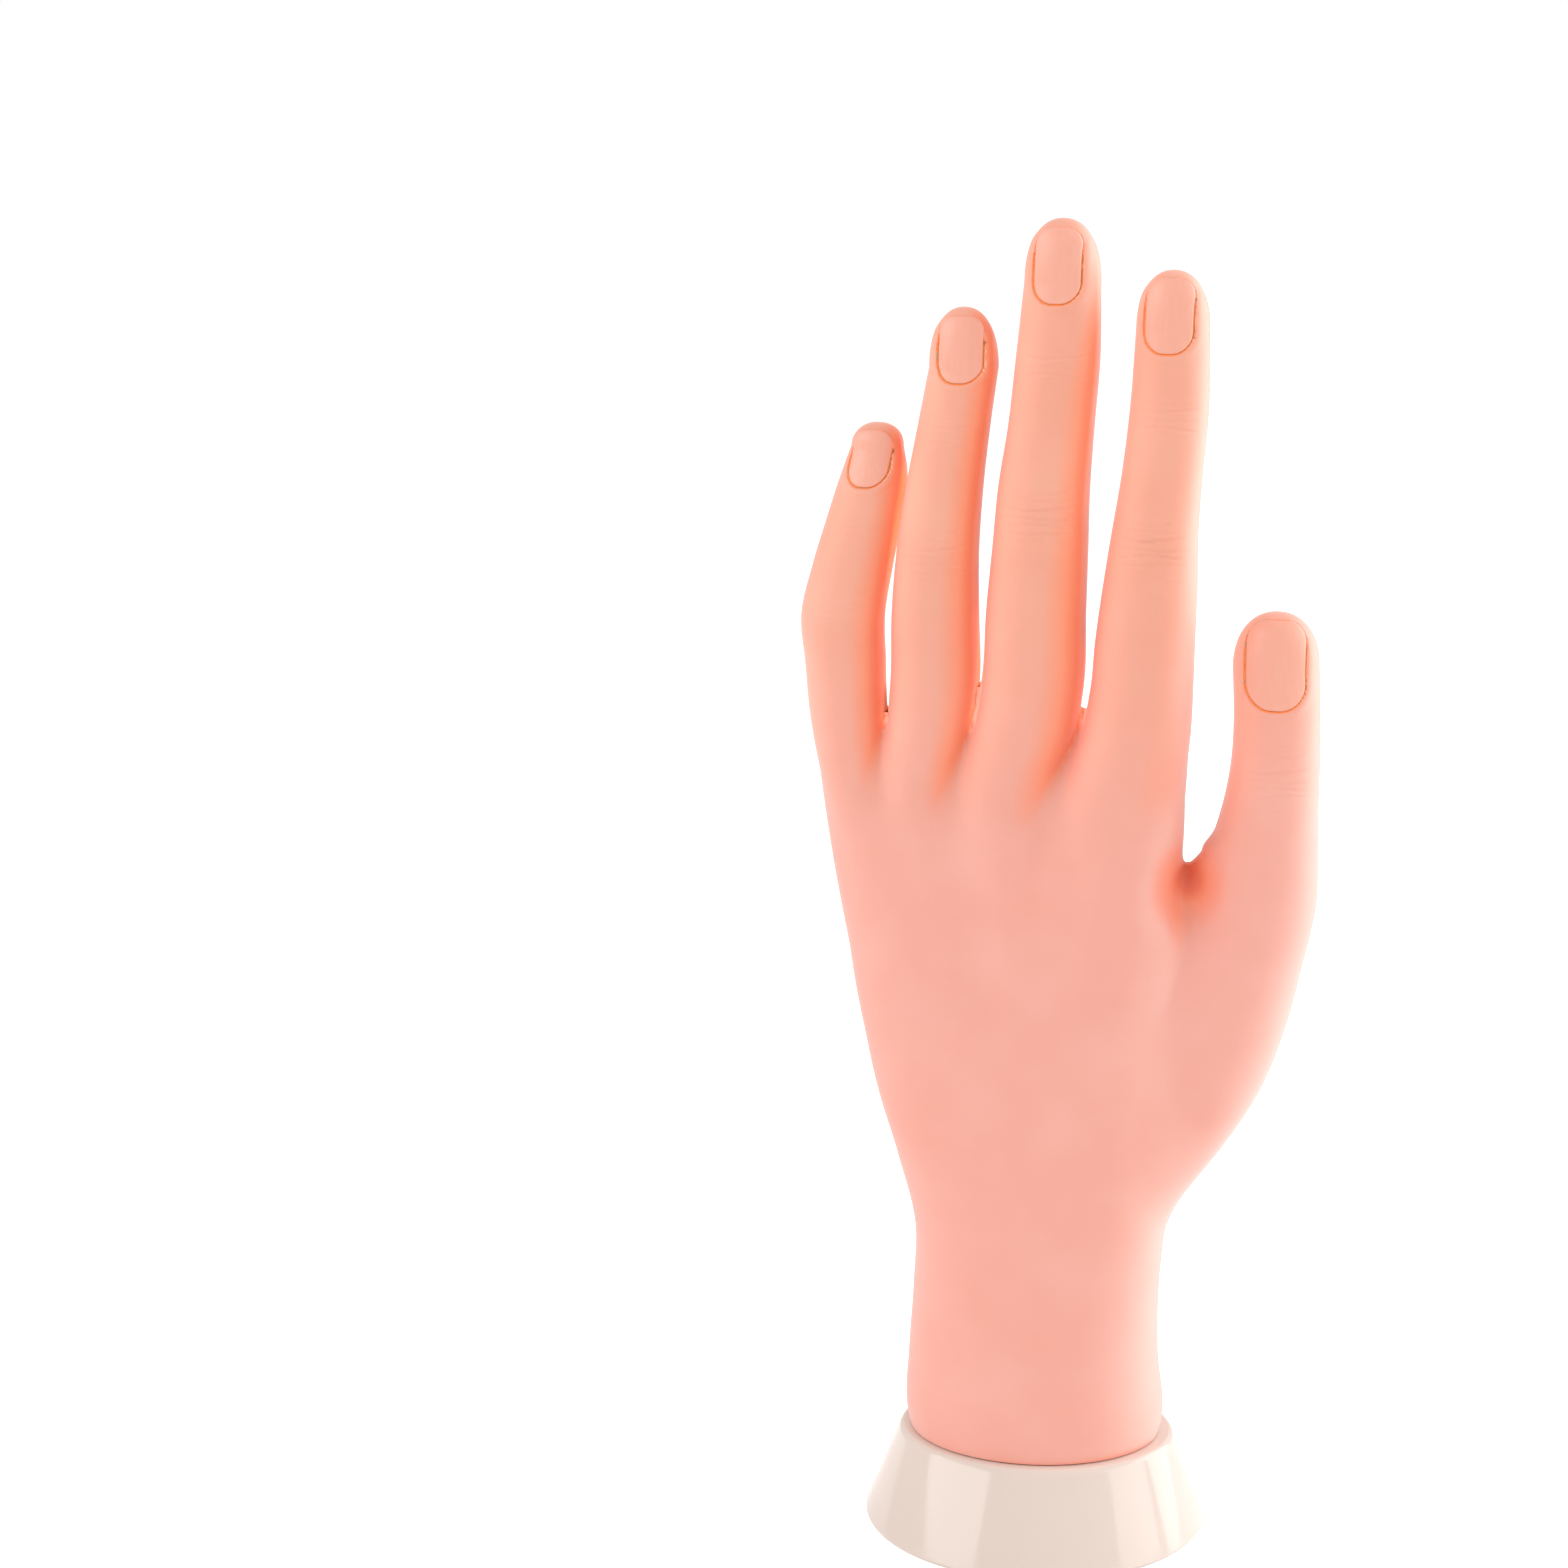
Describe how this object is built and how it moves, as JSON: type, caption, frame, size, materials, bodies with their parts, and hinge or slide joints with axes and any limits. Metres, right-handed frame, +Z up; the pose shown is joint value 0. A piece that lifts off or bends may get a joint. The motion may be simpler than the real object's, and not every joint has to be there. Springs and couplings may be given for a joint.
{
  "type": "nail practice hand",
  "caption": "Soft practice hand on a round base, with pin-jointed fingers and seated nail plates for practising manicures.",
  "frame": {"origin": "centre of the flat underside of the base", "axes": "+Z up along the wrist to the fingertips, -Y out of the back of the hand and the nails, +X towards the thumb"},
  "size_m": [0.0951, 0.0646, 0.2482],
  "materials": {
    "skin": "matte soft vinyl, peach pink",
    "nail": "satin nail plate, slightly pinker than the skin",
    "base": "glossy cream white moulding",
    "core": "natural nylon moulding",
    "steel": "bright zinc-plated steel"
  },
  "bodies": {
    "hand": {"base_shell": "base", "base_plate": "base", "plate_screw_1": "steel", "plate_screw_2": "steel", "plate_screw_3": "steel", "plug_screw_left": "steel", "plug_screw_right": "steel", "wrist_plug": "core", "core_pin_left": "steel", "core_pin_right": "steel", "palm_core": "core", "palm_skin": "skin", "little_root_pin": "steel", "ring_root_pin": "steel", "middle_root_pin": "steel", "index_root_pin": "steel", "thumb_root_pin": "steel"},
    "little_root": {"little_root_bone": "core", "little_root_skin": "skin", "little_middle_pin": "steel"},
    "little_middle": {"little_middle_bone": "core", "little_middle_skin": "skin", "little_tip_pin": "steel"},
    "little_tip": {"little_tip_bone": "core", "little_tip_skin": "skin", "little_nail": "nail"},
    "ring_root": {"ring_root_bone": "core", "ring_root_skin": "skin", "ring_middle_pin": "steel"},
    "ring_middle": {"ring_middle_bone": "core", "ring_middle_skin": "skin", "ring_tip_pin": "steel"},
    "ring_tip": {"ring_tip_bone": "core", "ring_tip_skin": "skin", "ring_nail": "nail"},
    "middle_root": {"middle_root_bone": "core", "middle_root_skin": "skin", "middle_middle_pin": "steel"},
    "middle_middle": {"middle_middle_bone": "core", "middle_middle_skin": "skin", "middle_tip_pin": "steel"},
    "middle_tip": {"middle_tip_bone": "core", "middle_tip_skin": "skin", "middle_nail": "nail"},
    "index_root": {"index_root_bone": "core", "index_root_skin": "skin", "index_middle_pin": "steel"},
    "index_middle": {"index_middle_bone": "core", "index_middle_skin": "skin", "index_tip_pin": "steel"},
    "index_tip": {"index_tip_bone": "core", "index_tip_skin": "skin", "index_nail": "nail"},
    "thumb_root": {"thumb_root_bone": "core", "thumb_root_skin": "skin", "thumb_tip_pin": "steel"},
    "thumb_tip": {"thumb_tip_bone": "core", "thumb_tip_skin": "skin", "thumb_nail": "nail"}
  },
  "joints": [
    {"name": "little_root_hinge", "type": "hinge", "parent": "hand", "child": "little_root", "pos_m": [-0.0374, 0.00106, 0.1624], "axis": [-1, 0, 0], "range_deg": [-10, 60]},
    {"name": "little_middle_hinge", "type": "hinge", "parent": "little_root", "child": "little_middle", "pos_m": [-0.03791, 0.00086, 0.176], "axis": [-1, 0, 0], "range_deg": [0, 75]},
    {"name": "little_tip_hinge", "type": "hinge", "parent": "little_middle", "child": "little_tip", "pos_m": [-0.0346, 0.003, 0.1925], "axis": [-1, 0, 0], "range_deg": [0, 45]},
    {"name": "ring_root_hinge", "type": "hinge", "parent": "hand", "child": "ring_root", "pos_m": [-0.0209, 0.001, 0.171], "axis": [-1, 0, 0], "range_deg": [-10, 70]},
    {"name": "ring_middle_hinge", "type": "hinge", "parent": "ring_root", "child": "ring_middle", "pos_m": [-0.0205, 0.0008, 0.188], "axis": [-1, 0, 0], "range_deg": [0, 80]},
    {"name": "ring_tip_hinge", "type": "hinge", "parent": "ring_middle", "child": "ring_tip", "pos_m": [-0.0182, 0.0026, 0.21], "axis": [-1, 0, 0], "range_deg": [0, 45]},
    {"name": "middle_root_hinge", "type": "hinge", "parent": "hand", "child": "middle_root", "pos_m": [-0.00268, 0.001, 0.173], "axis": [-1, 0, 0], "range_deg": [-10, 70]},
    {"name": "middle_middle_hinge", "type": "hinge", "parent": "middle_root", "child": "middle_middle", "pos_m": [-0.00168, 0.00093, 0.196], "axis": [-1, 0, 0], "range_deg": [0, 80]},
    {"name": "middle_tip_hinge", "type": "hinge", "parent": "middle_middle", "child": "middle_tip", "pos_m": [0.0005, 0.003, 0.223], "axis": [-1, 0, 0], "range_deg": [0, 45]},
    {"name": "index_root_hinge", "type": "hinge", "parent": "hand", "child": "index_root", "pos_m": [0.0174, 0.001, 0.171], "axis": [-1, 0, 0], "range_deg": [-10, 70]},
    {"name": "index_middle_hinge", "type": "hinge", "parent": "index_root", "child": "index_middle", "pos_m": [0.0187, 0.001, 0.191], "axis": [-1, 0, 0], "range_deg": [0, 80]},
    {"name": "index_tip_hinge", "type": "hinge", "parent": "index_middle", "child": "index_tip", "pos_m": [0.0207, 0.0028, 0.214], "axis": [-1, 0, 0], "range_deg": [0, 45]},
    {"name": "thumb_root_hinge", "type": "hinge", "parent": "hand", "child": "thumb_root", "pos_m": [0.0399, 0.006, 0.134], "axis": [-1, 0, 0], "range_deg": [0, 40]},
    {"name": "thumb_tip_hinge", "type": "hinge", "parent": "thumb_root", "child": "thumb_tip", "pos_m": [0.0414, 0.0054, 0.148], "axis": [-1, 0, 0], "range_deg": [0, 60]}
  ]
}
